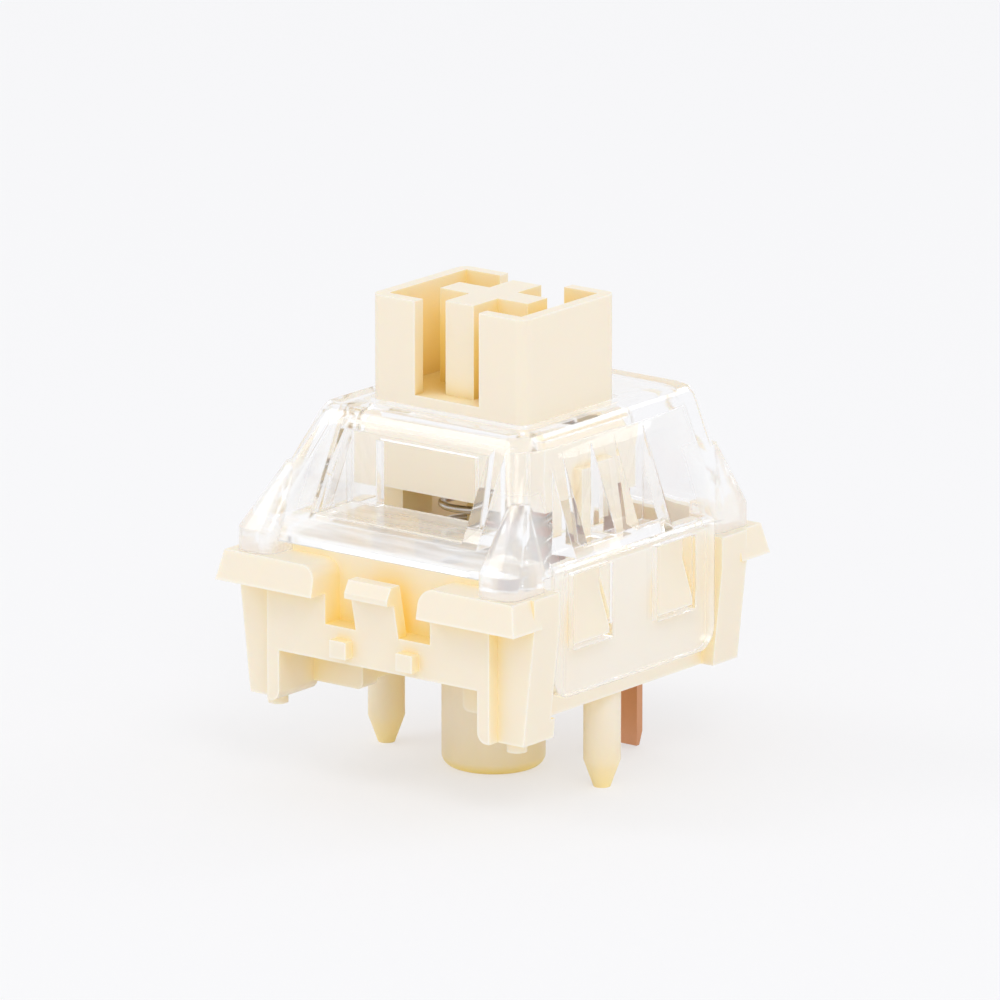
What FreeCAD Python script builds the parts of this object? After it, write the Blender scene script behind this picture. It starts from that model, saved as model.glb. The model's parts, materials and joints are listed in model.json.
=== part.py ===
import FreeCAD
import Part

import math
import os

import Sketcher

# Mechanical keyboard switch, millimetres, +Z up.
# The origin is on the ground under the centre post, on which the switch stands.
# X runs along the side pegs and Y towards the contact pins.
# Heights in the sheet are above the circuit board, unless the name says otherwise.

document = FreeCAD.newDocument("KeySwitch")

SIZES = {
    # How the switch stands
    "board_level": 2.62,
    # Lower housing: outer form
    "end_wall_face": 7.0,
    "end_wall_half": 5.2,
    "corner_face_x": 6.9,
    "corner_face_y": 6.5,
    "side_wall_inset": 0.95,
    "side_wall": 0.8,
    "side_recess_half": 4.97,
    "floor_under": 1.15,
    "floor_top": 2.25,
    "floor_half_y": 4.9,
    "end_wall_under": 2.47,
    "corner_top": 6.15,
    "side_wall_top": 6.45,
    "joint_overlap": 0.1,
    "ridge_gap": 0.05,
    "cavity_half_y": 5.75,
    "corner_draft": 0.55,
    "led_recess_half": 2.35,
    "led_recess_back": 2.9,
    "led_recess_top": 2.0,
    # Lower housing: feet under the light side
    "pillar_inner": 4.64,
    "pillar_under": 0.5,
    "pillar_back": 4.7,
    "pillar_round": 0.4,
    "block_under": 0.88,
    "block_back": 4.0,
    "block_round": 0.25,
    "nub_under": 0.1,
    "nub_radius": 0.38,
    "nub_x": 5.6,
    "nub_y": 5.85,
    # Lower housing: flange and plate clips
    "flange_under": 5.0,
    "flange_ledge": 0.85,
    "flange_overhang": 0.08,
    "flange_inner": 2.45,
    "flange_round": 0.6,
    "flange_draft": 0.25,
    "clip_pocket_floor": 3.85,
    "clip_pocket_back": 6.12,
    "clip_half": 1.0,
    "clip_thickness": 0.5,
    "clip_lean": 0.45,
    "clip_top": 5.87,
    "clip_hook_level": 5.13,
    "clip_hook_slope": 0.08,
    "clip_hook_nose": 0.2,
    "clip_hook_ledge": 0.7,
    "bump_x": 1.55,
    "bump_half": 0.38,
    "bump_rise": 0.42,
    "bump_low": 2.75,
    "bump_high": 3.42,
    # Lower housing: catches for the cover
    "catch_low": 3.8,
    "catch_high": 6.05,
    "catch_rise": 0.55,
    "catch_edge": 0.25,
    "catch_gap": 0.08,
    # Lower housing: centre post, pegs and spring tower
    "post_radius": 1.95,
    "post_foot_round": 0.45,
    "peg_radius": 0.7,
    "peg_spacing": 10.16,
    "peg_tip_radius": 0.32,
    "peg_taper": 1.05,
    "tower_radius": 1.6,
    "tower_top": 4.5,
    "bore_radius": 1.08,
    "guide_gap": 0.1,
    "guide_top_gap": 0.3,
    "guide_width": 0.55,
    # Cover
    "cover_low": 6.65,
    "cover_top": 11.5,
    "cover_inset_x": 0.38,
    "cover_rim_x": 1.065,
    "cover_inset_south": 0.05,
    "cover_top_south": 4.4,
    "cover_inset_north": 0.18,
    "cover_top_north": 6.35,
    "cover_wall": 0.75,
    "cover_roof": 0.85,
    "cover_corner": 0.7,
    "cover_top_round": 0.3,
    "opening_gap": 0.13,
    "lobe_inner_x": 4.72,
    "lobe_inner_y": 5.0,
    "lobe_ledge": 0.4,
    "lobe_top": 7.0,
    "lobe_blend_top": 9.3,
    "lobe_blend_span": 0.7,
    "lobe_round": 0.6,
    "lobe_top_round": 0.3,
    "skirt_inset": 0.3,
    "skirt_half": 4.9,
    "skirt_low": 1.92,
    "skirt_high": 7.3,
    "skirt_round": 0.9,
    "skirt_gap": 0.03,
    "skirt_blend": 0.3,
    "window_inner": 1.37,
    "window_outer": 3.73,
    "window_low": 3.65,
    "window_high": 6.5,
    "side_bay_half": 2.48,
    "side_bay_back": 5.07,
    "side_bay_low": 7.1,
    "side_bay_high": 10.7,
    "side_bay_wall": 0.45,
    "gusset_half": 0.7,
    "light_bay_half": 3.45,
    "light_bay_back": 4.1,
    "light_bay_low": 7.75,
    "light_bay_high": 10.72,
    "light_bay_wall": 0.45,
    "light_window_half": 2.3,
    "light_window_top": 10.3,
    # Stem
    "stem_half_x": 3.585,
    "stem_half_y": 2.83,
    "stem_top": 15.44,
    "stem_corner": 0.45,
    "stem_wall": 0.5,
    "stem_depth": 3.57,
    "stem_notch_half": 1.5,
    "cross_tip": 2.05,
    "cross_bar_ns": 1.31,
    "cross_bar_ew": 1.17,
    "shoulder_half": 4.2,
    "shoulder_low": 8.17,
    "rail_reach": 4.55,
    "rail_half": 0.9,
    "rail_drop": 1.0,
    "pole_radius": 0.98,
    "pole_low": 3.1,
    "pole_tip_cone": 0.35,
    "spring_seat": 9.9,
    "spring_seat_radius": 2.3,
    "travel": 4.0,
    "stem_floor_gap": 0.08,
    "roof_gap": 0.05,
    "bore_end_gap": 0.45,
    # Return spring
    "spring_mean_radius": 1.92,
    "spring_wire": 0.3,
    "spring_turns": 8.0,
    # Contacts
    "metal_thickness": 0.34,
    "pin_width": 0.9,
    "pin_reach": 2.56,
    "pin_point": 0.55,
    "pin_tip_inset": 0.085,
    "pin_slot_gap": 0.02,
    "far_pin_x": 2.54,
    "far_pin_y": 5.08,
    "near_pin_x": -3.81,
    "near_pin_y": 2.54,
    "fixed_plate_face": 3.7,
    "fixed_plate_half": 1.2,
    "fixed_plate_top": 6.6,
    "leaf_plane": 4.55,
    "leaf_thickness": 0.12,
    "leaf_half": 2.6,
    "leaf_hinge_level": 3.0,
    "leaf_roll_radius": 0.16,
    "leaf_top": 7.6,
    "leaf_tongue_half": 0.75,
    "leaf_slit": 0.6,
    "leaf_slit_low": 3.9,
    "leaf_bump_level": 7.0,
    "leaf_bump_rise": 0.45,
    "leaf_bump_half": 0.3,
    "contact_level": 6.0,
    "contact_width": 0.3,
    "contact_length": 0.9,
    "contact_rise": 0.2,
    "contact_crest_half": 0.05,
    "leg_inner": 1.65,
    "leg_gap": 0.05,
    "leg_width": 0.9,
    "contact_closing": 0.36,
    "contact_clearance": 0.02,
}

sheet = document.addObject("Spreadsheet::Sheet", "Sizes")
for row, (alias, number) in enumerate(SIZES.items(), start=1):
    sheet.set("A%d" % row, alias)
    sheet.set("B%d" % row, str(number))
    sheet.setAlias("B%d" % row, alias)
document.recompute()


def rule(text):
    """A formula on the sheet's aliases, written for setExpression."""
    words = text.replace("(", " ( ").replace(")", " ) ").split()
    return " ".join("Sizes." + word if word in SIZES else word for word in words)


def above(text):
    """A height above the board as a height above the ground."""
    return "board_level + " + text


def value(text):
    """The number that a formula gives now."""
    result = sheet.evalExpression(rule(text))
    return float(getattr(result, "Value", result))


# Faces that follow from others
FLANGE_REACH = "( end_wall_face + flange_ledge )"
FLANGE_HALF = "( corner_face_x + flange_overhang )"
SIDE_WALL_FACE = "( corner_face_x - side_wall_inset )"
CAVITY_HALF_X = "( corner_face_x - side_wall_inset - side_wall )"
COVER_LOW_X = "( corner_face_x - cover_inset_x )"
COVER_TOP_X = "( stem_half_x + opening_gap + cover_rim_x )"
COVER_LOW_SOUTH = "( end_wall_face - cover_inset_south )"
COVER_LOW_NORTH = "( end_wall_face - cover_inset_north )"
LOBE_REACH = "( end_wall_face + lobe_ledge )"
SKIRT_FACE = "( corner_face_x - skirt_inset )"

# Heights above the board that follow from others
SHOULDER_TOP = "( cover_top - cover_roof - roof_gap )"
STEM_FLOOR = "( stem_top - stem_depth )"
RAIL_LOW = "( floor_top + travel + stem_floor_gap )"
LEG_LOW = "( floor_top + metal_thickness + travel + stem_floor_gap )"
BORE_LOW = "( pole_low - travel - bore_end_gap )"


def new_body(label):
    body = document.addObject("PartDesign::Body", label)
    body.Label = label
    body.Placement = FreeCAD.Placement()
    return body


def origin_plane(body, role):
    return next(item for item in body.Origin.OriginFeatures if item.Role == role)


def new_sketch(body, plane, level):
    """A sketch on one of the body's own planes, moved to the level along its normal."""
    sketch = body.newObject("Sketcher::SketchObject", body.Name + "Sketch")
    sketch.AttachmentSupport = [(origin_plane(body, plane), "")]
    sketch.MapMode = "FlatFace"
    sketch.setExpression("AttachmentOffset.Base.z", rule(level))
    return sketch


def hold(sketch, direction, geometry, end, text):
    """Hold one coordinate of a point at a formula from the sketch's origin."""
    number = sketch.addConstraint(
        Sketcher.Constraint(direction, -1, 1, geometry, end, value(text)))
    sketch.setExpression("Constraints[%d]" % number, rule(text))


def pin_point(sketch, geometry, end, across, along):
    hold(sketch, "DistanceX", geometry, end, across)
    hold(sketch, "DistanceY", geometry, end, along)


def draw_outline(sketch, points):
    """A closed outline through corners that are given as pairs of formulas."""
    first = sketch.GeometryCount
    places = [FreeCAD.Vector(value(across), value(along), 0) for across, along in points]
    count = len(places)
    for index in range(count):
        following = places[(index + 1) % count]
        sketch.addGeometry(Part.LineSegment(places[index], following), False)
    for index in range(count):
        joined = first + (index + 1) % count
        sketch.addConstraint(Sketcher.Constraint("Coincident", first + index, 2, joined, 1))
    for index, (across, along) in enumerate(points):
        pin_point(sketch, first + index, 1, across, along)


def draw_rounded(sketch, left, right, low, high, radius):
    """A box outline whose four corners are arcs."""
    inner_left, inner_right = "%s + %s" % (left, radius), "%s - %s" % (right, radius)
    inner_low, inner_high = "%s + %s" % (low, radius), "%s - %s" % (high, radius)
    lines = [((inner_left, low), (inner_right, low)), ((right, inner_low), (right, inner_high)),
             ((inner_right, high), (inner_left, high)), ((left, inner_high), (left, inner_low))]
    centres = [(inner_right, inner_low), (inner_right, inner_high), (inner_left, inner_high),
               (inner_left, inner_low)]
    for index in range(4):
        start, end = [FreeCAD.Vector(value(each[0]), value(each[1]), 0) for each in lines[index]]
        centre = FreeCAD.Vector(value(centres[index][0]), value(centres[index][1]), 0)
        circle = Part.Circle(centre, FreeCAD.Vector(0, 0, 1), value(radius))
        turn = (index - 1) * math.pi / 2
        sketch.addGeometry([Part.LineSegment(start, end),
                            Part.ArcOfCircle(circle, turn, turn + math.pi / 2)], False)
    for index in range(4):
        line, arc = 2 * index, 2 * index + 1
        sketch.addConstraint(Sketcher.Constraint("Coincident", line, 2, arc, 1))
        sketch.addConstraint(Sketcher.Constraint("Coincident", arc, 2, (line + 2) % 8, 1))
        pin_point(sketch, line, 1, *lines[index][0])
        pin_point(sketch, line, 2, *lines[index][1])
        hold(sketch, "DistanceX", arc, 3, centres[index][0])


def draw_circle(sketch, across, along, radius):
    centre = FreeCAD.Vector(value(across), value(along), 0)
    circle = Part.Circle(centre, FreeCAD.Vector(0, 0, 1), value(radius))
    index = sketch.addGeometry(circle, False)
    pin_point(sketch, index, 3, across, along)
    number = sketch.addConstraint(Sketcher.Constraint("Radius", index, value(radius)))
    sketch.setExpression("Constraints[%d]" % number, rule(radius))


def box_outline(left, right, low, high):
    return [(left, low), (right, low), (right, high), (left, high)]


# How far along the global axis each plane's normal points, and which way a feature runs.
PLANES = {"XY": ("XY_Plane", 1), "XZ": ("XZ_Plane", -1), "YZ": ("YZ_Plane", 1)}


def sweep_straight(body, kind, plane, low, high, draw):
    """A pad or a pocket between two levels of the global axis across its plane."""
    role, sense = PLANES[plane]
    starts_low = (sense > 0) == (kind == "Pad")
    start = low if starts_low else high
    level = "( %s )" % start if sense > 0 else "0 - ( %s )" % start
    sketch = new_sketch(body, role, level)
    draw(sketch)
    feature = body.newObject("PartDesign::" + kind, body.Name + kind)
    feature.Profile = sketch
    feature.setExpression("Length", rule("( %s ) - ( %s )" % (high, low)))
    document.recompute()
    check_change(body, feature, kind)
    return feature


def check_change(body, feature, kind):
    """Each added piece adds volume and each cut takes some away."""
    if "Invalid" in feature.State or feature.Shape.isNull():
        raise RuntimeError("%s in %s failed: %s" % (feature.Name, body.Label, feature.State))
    base = feature.BaseFeature
    if base is None:
        return
    change = feature.Shape.Volume - base.Shape.Volume
    if (change > 0) != (kind == "Pad") or abs(change) < 1e-6:
        raise RuntimeError("%s in %s changed the volume by %g" % (feature.Name, body.Label, change))


def draw_all(outlines):
    return lambda sketch: [draw_outline(sketch, outline) for outline in outlines]


def add(body, plane, low, high, *outlines):
    return sweep_straight(body, "Pad", plane, low, high, draw_all(outlines))


def cut(body, plane, low, high, *outlines):
    return sweep_straight(body, "Pocket", plane, low, high, draw_all(outlines))


def add_round(body, plane, low, high, *circles):
    return sweep_straight(body, "Pad", plane, low, high,
                          lambda sketch: [draw_circle(sketch, *circle) for circle in circles])


def cut_round(body, plane, low, high, *circles):
    return sweep_straight(body, "Pocket", plane, low, high,
                          lambda sketch: [draw_circle(sketch, *circle) for circle in circles])


def loft(body, kind, low, draw_low, high, draw_high):
    """A loft between two level sketches."""
    sketches = []
    for level, draw in ((low, draw_low), (high, draw_high)):
        sketch = new_sketch(body, "XY_Plane", level)
        draw(sketch)
        sketches.append(sketch)
    feature = body.newObject("PartDesign::" + kind, body.Name + kind)
    feature.Profile = sketches[0]
    feature.Sections = [sketches[1]]
    feature.Ruled = True
    document.recompute()
    check_change(body, feature, "Pad" if kind == "AdditiveLoft" else "Pocket")
    return feature


def check_rounding(body, feature):
    if "Invalid" in feature.State or feature.Shape.isNull() or not feature.Shape.isValid():
        raise RuntimeError("%s in %s failed: %s" % (feature.Name, body.Label, feature.State))


def edges_where(feature, test):
    """Names of the edges whose ends both pass the test."""
    names = []
    for number, edge in enumerate(feature.Shape.Edges, start=1):
        ends = [vertex.Point for vertex in edge.Vertexes]
        if len(ends) == 2 and test(ends[0], ends[1]):
            names.append("Edge%d" % number)
    return names


def round_edges(body, kind, size, test):
    """A fillet or chamfer on the edges of the body's tip that pass the test."""
    base = body.Tip
    names = edges_where(base, test)
    if not names:
        raise RuntimeError("no edge to round in " + body.Label)
    feature = body.newObject("PartDesign::" + kind, body.Name + kind)
    feature.Base = (base, names)
    feature.setExpression("Radius" if kind == "Fillet" else "Size", rule(size))
    document.recompute()
    check_rounding(body, feature)
    return feature


def turn_post(body, radius, foot_round, top):
    """A turned post on the ground, whose foot has a rounded rim."""
    sketch = new_sketch(body, "XZ_Plane", "0")
    flat = "%s - %s" % (radius, foot_round)
    corners = [("0", "0"), (flat, "0"), (radius, foot_round), (radius, top), ("0", top)]
    places = [FreeCAD.Vector(value(across), value(along), 0) for across, along in corners]
    centre = FreeCAD.Vector(value(flat), value(foot_round), 0)
    circle = Part.Circle(centre, FreeCAD.Vector(0, 0, 1), value(foot_round))
    quarter = Part.ArcOfCircle(circle, -math.pi / 2, 0)
    sketch.addGeometry([Part.LineSegment(places[0], places[1]), quarter,
                        Part.LineSegment(places[2], places[3]),
                        Part.LineSegment(places[3], places[4]),
                        Part.LineSegment(places[4], places[0])], False)
    for index in range(5):
        sketch.addConstraint(Sketcher.Constraint("Coincident", index, 2, (index + 1) % 5, 1))
    for index, (across, along) in enumerate(corners):
        if index != 1:
            pin_point(sketch, index, 1, across, along)
    hold(sketch, "DistanceX", 1, 3, flat)
    feature = body.newObject("PartDesign::Revolution", body.Name + "Post")
    feature.Profile = sketch
    feature.ReferenceAxis = (sketch, ["V_Axis"])
    feature.Angle = 360
    document.recompute()
    check_change(body, feature, "Pad")


def near(first, second):
    return abs(first - second) < 1e-4


def upright(start, end):
    return near(start.x, end.x) and near(start.y, end.y)


def beside(start, end, x_size, y_size):
    """An upright edge at the same distance from both middle planes as the sizes."""
    return upright(start, end) and near(abs(start.x), x_size) and near(abs(start.y), y_size)


def both_sides(low_x, high_x, low_y, high_y):
    """The outline of a box and of its mirror image across X."""
    return (box_outline(low_x, high_x, low_y, high_y),
            box_outline("0 - ( %s )" % high_x, "0 - ( %s )" % low_x, low_y, high_y))


def minus(text):
    return "0 - ( %s )" % text


def four_corners(low_x, high_x, low_y, high_y):
    """The outline of a box and of its mirror images across X and Y."""
    return (both_sides(low_x, high_x, low_y, high_y)
            + both_sides(low_x, high_x, minus(high_y), minus(low_y)))


def centred(half_x, half_y):
    return box_outline(minus(half_x), half_x, minus(half_y), half_y)


# Lower housing: one moulding with the corner posts, the flange, the plate clips,
# the catches for the cover, the spring tower, the centre post and the side pegs.

def build_bottom_housing():
    body = new_body("bottom_housing")
    x, y = "corner_face_x", "corner_face_y"
    wall, recess = SIDE_WALL_FACE, "side_recess_half"
    recessed = [(minus(x), minus(y)), (x, minus(y)), (x, minus(recess)), (wall, minus(recess)),
                (wall, recess), (x, recess), (x, y), (minus(x), y), (minus(x), recess),
                (minus(wall), recess), (minus(wall), minus(recess)), (minus(x), minus(recess))]
    add(body, "XY", above("floor_under"), above("corner_top"), recessed)
    add(body, "XY", above("end_wall_under"), above("corner_top"),
        centred("end_wall_half", "end_wall_face"))
    add(body, "XY", above("corner_top"), above("side_wall_top"), centred(wall, recess))
    ridge_top = "cover_low - ridge_gap"
    add(body, "XY", above("corner_top"), above(ridge_top),
        centred("lobe_inner_x - ridge_gap", "clip_pocket_back"))
    cut(body, "XY", above("floor_top"), above("cover_low"),
        centred(CAVITY_HALF_X, "cavity_half_y"))
    cut(body, "XY", above("floor_under"), above("end_wall_under"),
        box_outline(minus("pillar_inner"), "pillar_inner", "floor_half_y", FLANGE_REACH),
        box_outline(minus("pillar_inner"), "pillar_inner", minus(FLANGE_REACH),
                    minus("floor_half_y")))
    build_flange_and_clips(body)
    build_catches(body)
    build_feet(body)
    build_spring_tower(body)
    add(body, "XY", above("floor_top - joint_overlap"), above("side_wall_top - guide_top_gap"),
        *four_corners("shoulder_half + guide_gap", CAVITY_HALF_X + " + joint_overlap",
                      "rail_half + guide_gap", "rail_half + guide_gap + guide_width"))
    cut(body, "XY", above("floor_under"), above("floor_top"),
        pin_outline("far_pin_x", "far_pin_y", "pin_slot_gap"),
        pin_outline("near_pin_x", "near_pin_y", "pin_slot_gap"))
    cut(body, "XY", above("floor_under"), above("led_recess_top"),
        box_outline(minus("led_recess_half"), "led_recess_half", minus("floor_half_y"),
                    minus("led_recess_back")))
    drafted = [("corner_face_x - corner_draft", "board_level"),
               ("corner_face_x", above("flange_under")),
               (FLANGE_REACH, above("flange_under")), (FLANGE_REACH, "board_level")]
    mirrored = [(minus(across), along) for across, along in drafted]
    cut(body, "XZ", minus(FLANGE_REACH), FLANGE_REACH, drafted, mirrored)
    return body


def pin_outline(across, along, gap):
    """The section of a flat contact pin, with a gap all round."""
    half_width = "( pin_width / 2 + %s )" % gap
    half_depth = "( metal_thickness / 2 + %s )" % gap
    return box_outline("%s - %s" % (across, half_width), "%s + %s" % (across, half_width),
                       "%s - %s" % (along, half_depth), "%s + %s" % (along, half_depth))


def build_flange_and_clips(body):
    for sign_x in (1, -1):
        for sign_y in (1, -1):
            loft(body, "AdditiveLoft",
                 above("flange_under"), lambda sketch: draw_flange(sketch, sign_x, sign_y, "0"),
                 above("corner_top"),
                 lambda sketch: draw_flange(sketch, sign_x, sign_y, "flange_draft"))
    cut(body, "XY", above("clip_pocket_floor"), above("corner_top"),
        box_outline(minus("flange_inner"), "flange_inner", "clip_pocket_back", FLANGE_REACH),
        box_outline(minus("flange_inner"), "flange_inner", minus(FLANGE_REACH),
                    minus("clip_pocket_back")))
    reach, inner = value(FLANGE_REACH + " - flange_draft"), value("flange_inner")
    top = value(above("corner_top"))
    round_edges(body, "Fillet", "flange_round", lambda start, end: (
        near(abs(start.x), inner) and near(abs(end.x), inner) and near(start.z, top)
        and near(end.z, top) and near(max(abs(start.y), abs(end.y)), reach)))
    for sign in (1, -1):
        outline = [(across if sign > 0 else minus(across), along) for across, along in clip_profile()]
        add(body, "YZ", minus("clip_half"), "clip_half", outline)
        low, high = "end_wall_face - joint_overlap", "end_wall_face + bump_rise"
        if sign < 0:
            low, high = minus(high), minus(low)
        add(body, "XY", above("bump_low"), above("bump_high"),
            *both_sides("bump_x - bump_half", "bump_x + bump_half", low, high))


def draw_flange(sketch, sign_x, sign_y, inset):
    """A level section of the flange at one corner, drawn in by its draft."""
    across = ["flange_inner", "%s - %s" % (FLANGE_HALF, inset)]
    along = ["clip_pocket_back", "%s - %s" % (FLANGE_REACH, inset)]
    if sign_x < 0:
        across = [minus(each) for each in reversed(across)]
    if sign_y < 0:
        along = [minus(each) for each in reversed(along)]
    draw_outline(sketch, box_outline(*across, *along))


def clip_profile():
    """Side outline of one plate clip: it leans outwards and ends in a hook."""
    inner = "end_wall_face - clip_thickness"
    hook_lean = "clip_lean * ( clip_hook_level - clip_pocket_floor ) / ( clip_top - clip_pocket_floor )"
    return [(inner, above("clip_pocket_floor - joint_overlap")),
            ("end_wall_face", above("clip_pocket_floor - joint_overlap")),
            ("end_wall_face + " + hook_lean, above("clip_hook_level")),
            ("end_wall_face + clip_hook_ledge", above("clip_hook_level + clip_hook_slope")),
            ("end_wall_face + clip_hook_ledge",
             above("clip_hook_level + clip_hook_slope + clip_hook_nose")),
            ("end_wall_face + clip_lean", above("clip_top")),
            (inner + " + clip_lean", above("clip_top"))]


def build_catches(body):
    """Four wedges on the side walls, under the windows of the cover."""
    face = SIDE_WALL_FACE + " - joint_overlap"
    tip = SIDE_WALL_FACE + " + catch_rise"
    wedge = [(face, above("catch_low")), (tip, above("catch_low")),
             (tip, above("catch_low + catch_edge")), (face, above("catch_high"))]
    mirrored = [(minus(across), along) for across, along in wedge]
    low, high = "window_inner + catch_gap", "window_outer - catch_gap"
    add(body, "XZ", low, high, wedge, mirrored)
    add(body, "XZ", minus(high), minus(low), wedge, mirrored)


def build_feet(body):
    add(body, "XY", above("pillar_under"), above("floor_under + joint_overlap"),
        *both_sides("pillar_inner", "corner_face_x", minus("corner_face_y"), minus("pillar_back")))
    add(body, "XY", above("pillar_under"), above("end_wall_under + joint_overlap"),
        *both_sides("pillar_inner", "end_wall_half", minus("end_wall_face"), minus("pillar_back")))
    round_low_edges(body, "pillar_inner", "pillar_under", "pillar_round")
    add(body, "XY", above("block_under"), above("floor_under + joint_overlap"),
        *both_sides("led_recess_half", "pillar_inner + joint_overlap", minus("floor_half_y"),
                    minus("block_back")))
    round_low_edges(body, "led_recess_half", "block_under", "block_round")
    add_round(body, "XY", above("nub_under"), above("pillar_under + joint_overlap"),
              ("nub_x", minus("nub_y"), "nub_radius"), (minus("nub_x"), minus("nub_y"), "nub_radius"))
    turn_post(body, "post_radius", "post_foot_round", above("floor_under + joint_overlap"))
    for centre in ("peg_spacing / 2", minus("peg_spacing / 2")):
        add_round(body, "XY", "peg_taper", above("floor_under + joint_overlap"),
                  (centre, "0", "peg_radius"))
        loft(body, "AdditiveLoft", "0",
             lambda sketch: draw_circle(sketch, centre, "0", "peg_tip_radius"), "peg_taper",
             lambda sketch: draw_circle(sketch, centre, "0", "peg_radius"))


def round_low_edges(body, across, under, size):
    """Rounds the bottom edges that run along Y at one distance to both sides."""
    inner, level = value(across), value(above(under))
    round_edges(body, "Fillet", size, lambda start, end: (
        near(start.z, level) and near(end.z, level)
        and near(abs(start.x), inner) and near(start.x, end.x)))


def build_spring_tower(body):
    add_round(body, "XY", above("floor_top - joint_overlap"), above("tower_top"),
              ("0", "0", "tower_radius"))
    cut_round(body, "XY", above(BORE_LOW), above("tower_top"), ("0", "0", "bore_radius"))


# Cover: a clear shell that slopes in to the top, with a bay for a light in front,
# a bay with a gusset on each side, and two skirts whose windows hold the catches.

def sloped(low_size, top_size, level):
    """The outer face of the cover at a height above the board."""
    return "( %s + ( %s - %s ) * ( cover_top - ( %s ) ) / ( cover_top - cover_low ) )" % (
        top_size, low_size, top_size, level)


def draw_cover(level, inset):
    """The cover's level section, drawn in by a wall."""
    side = "%s - %s" % (sloped(COVER_LOW_X, COVER_TOP_X, level), inset)
    south = "%s - %s" % (sloped(COVER_LOW_SOUTH, "cover_top_south", level), inset)
    north = "%s - %s" % (sloped(COVER_LOW_NORTH, "cover_top_north", level), inset)
    return lambda sketch: draw_rounded(sketch, minus(side), side, minus(south), north,
                                       "( cover_corner - %s / 2 )" % inset)


def build_top_housing():
    body = new_body("top_housing")
    steps = [("cover_low", "0"), ("cover_top - cover_top_round", "0")]
    for turn in (45, 90):
        steps.append(("cover_top - cover_top_round * ( 1 - %.4f )" % math.sin(math.radians(turn)),
                      "cover_top_round * %.4f" % (1 - math.cos(math.radians(turn)))))
    for (low, low_inset), (high, high_inset) in zip(steps, steps[1:]):
        loft(body, "AdditiveLoft", above(low), draw_cover(low, low_inset),
             above(high), draw_cover(high, high_inset))
    for sign_x in (1, -1):
        for sign_y in (1, -1):
            loft(body, "AdditiveLoft", above("lobe_top"),
                 lambda sketch: draw_lobe(sketch, sign_x, sign_y), above("lobe_blend_top"),
                 lambda sketch: draw_lobe_top(sketch, sign_x, sign_y))
    ceiling = "cover_top - cover_roof"
    loft(body, "SubtractiveLoft", above("cover_low"), draw_cover("cover_low", "cover_wall"),
         above(ceiling), draw_cover(ceiling, "cover_wall"))
    build_light_bay(body)
    build_side_bays(body)
    build_skirts(body)
    for sign_x in (1, -1):
        for sign_y in (1, -1):
            sweep_straight(body, "Pad", "XY", above("corner_top"), above("lobe_top"),
                           lambda sketch: draw_lobe(sketch, sign_x, sign_y))
    opening_x, opening_y = "stem_half_x + opening_gap", "stem_half_y + opening_gap"
    cut(body, "XY", above(SHOULDER_TOP), above("cover_top"), centred(opening_x, opening_y))
    round_edges(body, "Fillet", "stem_corner", lambda start, end: (
        beside(start, end, value(opening_x), value(opening_y))))
    return body


def draw_in_corner(sketch, sign_x, sign_y, across, along, radius):
    """A rounded box between two distances across and two along, mirrored into one corner."""
    if sign_x < 0:
        across = [minus(each) for each in reversed(across)]
    if sign_y < 0:
        along = [minus(each) for each in reversed(along)]
    draw_rounded(sketch, *across, *along, radius)


def draw_lobe(sketch, sign_x, sign_y):
    draw_in_corner(sketch, sign_x, sign_y, ["lobe_inner_x", COVER_LOW_X],
                   ["lobe_inner_y", LOBE_REACH], "lobe_round")


def draw_lobe_top(sketch, sign_x, sign_y):
    """Where a lobe runs out into the cover's slopes."""
    side = sloped(COVER_LOW_X, COVER_TOP_X, "lobe_blend_top")
    end = sloped(COVER_LOW_SOUTH, "cover_top_south", "lobe_blend_top")
    if sign_y > 0:
        end = sloped(COVER_LOW_NORTH, "cover_top_north", "lobe_blend_top")
    draw_in_corner(sketch, sign_x, sign_y, [side + " - lobe_blend_span", side],
                   [end + " - lobe_blend_span", end], "lobe_top_round")


def build_light_bay(body):
    """A bay cut into the front slope, with a floor, a back wall and a window."""
    half, wall = "light_bay_half", "light_bay_wall"
    face_low = sloped(COVER_LOW_SOUTH, "cover_top_south", "light_bay_low - light_bay_wall")
    face_top = sloped(COVER_LOW_SOUTH, "cover_top_south", "cover_top - cover_roof")
    inside = "light_bay_back - light_bay_wall"
    block = [(minus(inside), above("light_bay_low - light_bay_wall")),
             (minus(face_low), above("light_bay_low - light_bay_wall")),
             (minus(face_top), above("cover_top - cover_roof")),
             (minus(inside), above("cover_top - cover_roof"))]
    add(body, "YZ", minus("%s + %s" % (half, wall)), "%s + %s" % (half, wall), block)
    cut(body, "XY", above("light_bay_low"), above("light_bay_high"),
        box_outline(minus(half), half, minus(FLANGE_REACH), minus("light_bay_back")))
    cut(body, "XY", above("light_bay_low"), above("light_window_top"),
        box_outline(minus("light_window_half"), "light_window_half", minus(FLANGE_REACH),
                    minus("light_bay_back - light_bay_wall")))


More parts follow.
